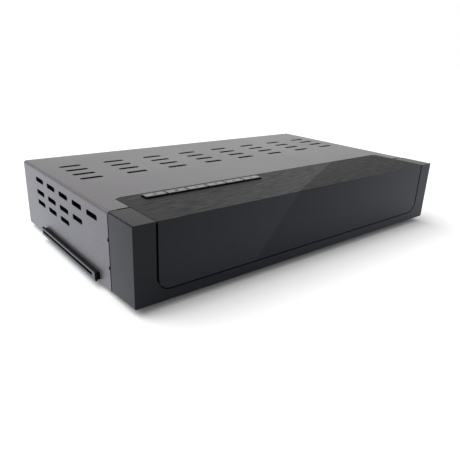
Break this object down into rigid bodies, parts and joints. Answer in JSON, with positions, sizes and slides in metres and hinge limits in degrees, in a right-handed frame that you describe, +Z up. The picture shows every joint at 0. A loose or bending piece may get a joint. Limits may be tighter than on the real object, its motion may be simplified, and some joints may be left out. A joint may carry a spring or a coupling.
{
  "type": "satellite tv receiver",
  "caption": "Flat satellite TV receiver: slotted steel cover, brushed and gloss fascia, low push keys on top, side card slot, rear sockets and rocker switch.",
  "frame": {"origin": "centre of the footprint of the whole receiver, at the bottom of its feet", "axes": "+X to the viewer's right, +Y to the rear panel, +Z up"},
  "size_m": [0.2322, 0.1484, 0.043],
  "materials": {
    "powder_coated_steel": "satin powder coat",
    "zinc_plated_steel": "plated sheet",
    "black_abs": "fine moulded texture",
    "brushed_black": "brushed, black anodised look",
    "smoked_acrylic": "polished",
    "key_grey": "satin",
    "rubber_black": "matt",
    "circuit_board": "green solder mask",
    "display_black": "smooth",
    "eye_dark": "clear dark lens",
    "lamp_red": "diffused lens",
    "chip_black": "moulded epoxy",
    "bare_aluminium": "extruded",
    "capacitor_sleeve": "heat shrink sleeve",
    "tinned_steel": "tinned",
    "nickel": "nickel plated",
    "white_nylon": "moulded",
    "ferrite": "sintered",
    "wire_brown": "insulation",
    "ribbon_grey": "insulation"
  },
  "bodies": {
    "case": {"top_cover": "powder_coated_steel", "chassis": "zinc_plated_steel", "front_bezel": "black_abs", "fascia_top": "brushed_black", "fascia_front": "smoked_acrylic", "foot_front_left": "rubber_black", "foot_front_right": "rubber_black", "foot_rear_left": "rubber_black", "foot_rear_right": "rubber_black", "key_board": "circuit_board", "tact_switches": "tinned_steel", "display_board": "circuit_board", "display_module": "display_black", "infrared_eye": "eye_dark", "standby_lamp": "lamp_red", "main_board": "circuit_board", "main_chips": "chip_black", "heat_sink": "bare_aluminium", "board_capacitors": "capacitor_sleeve", "tuner_can": "tinned_steel", "lnb_input": "nickel", "loop_output": "nickel", "aerial_insulators": "white_nylon", "aerial_nuts": "nickel", "network_socket": "tinned_steel", "usb_socket": "tinned_steel", "hdmi_socket": "tinned_steel", "rca_housing": "black_abs", "rca_barrels": "nickel", "scart_socket": "black_abs", "card_reader": "black_abs", "card_slot_frame": "black_abs", "supply_board": "circuit_board", "transformer": "ferrite", "bulk_capacitor": "capacitor_sleeve", "output_capacitors": "capacitor_sleeve", "supply_heat_sink": "bare_aluminium", "switching_transistor": "chip_black", "line_filter": "ferrite", "mains_fuse": "white_nylon", "mains_inlet": "black_abs", "power_switch": "black_abs", "ribbon_cable": "ribbon_grey", "dc_lead": "ribbon_grey", "lead_headers": "white_nylon", "mains_wires": "wire_brown", "cover_screws": "nickel", "board_screws": "nickel", "front_screws": "nickel"},
    "standby_key": {"standby_key": "key_grey"},
    "menu_key": {"menu_key": "key_grey"},
    "left_key": {"left_key": "key_grey"},
    "right_key": {"right_key": "key_grey"},
    "down_key": {"down_key": "key_grey"},
    "up_key": {"up_key": "key_grey"},
    "power_rocker": {"power_rocker": "black_abs"}
  },
  "joints": [
    {"name": "standby_press", "type": "slide", "parent": "case", "child": "standby_key", "axis": [0, 0, -1], "range_m": [0, 0.0006], "stiffness_N_per_m": 600},
    {"name": "menu_press", "type": "slide", "parent": "case", "child": "menu_key", "axis": [0, 0, -1], "range_m": [0, 0.0006], "stiffness_N_per_m": 600},
    {"name": "left_press", "type": "slide", "parent": "case", "child": "left_key", "axis": [0, 0, -1], "range_m": [0, 0.0006], "stiffness_N_per_m": 600},
    {"name": "right_press", "type": "slide", "parent": "case", "child": "right_key", "axis": [0, 0, -1], "range_m": [0, 0.0006], "stiffness_N_per_m": 600},
    {"name": "down_press", "type": "slide", "parent": "case", "child": "down_key", "axis": [0, 0, -1], "range_m": [0, 0.0006], "stiffness_N_per_m": 600},
    {"name": "up_press", "type": "slide", "parent": "case", "child": "up_key", "axis": [0, 0, -1], "range_m": [0, 0.0006], "stiffness_N_per_m": 600},
    {"name": "power_rocker_tilt", "type": "hinge", "parent": "case", "child": "power_rocker", "pos_m": [0.10565, 0.06415, 0.0208], "axis": [1, 0, 0], "range_deg": [0, 20]}
  ]
}
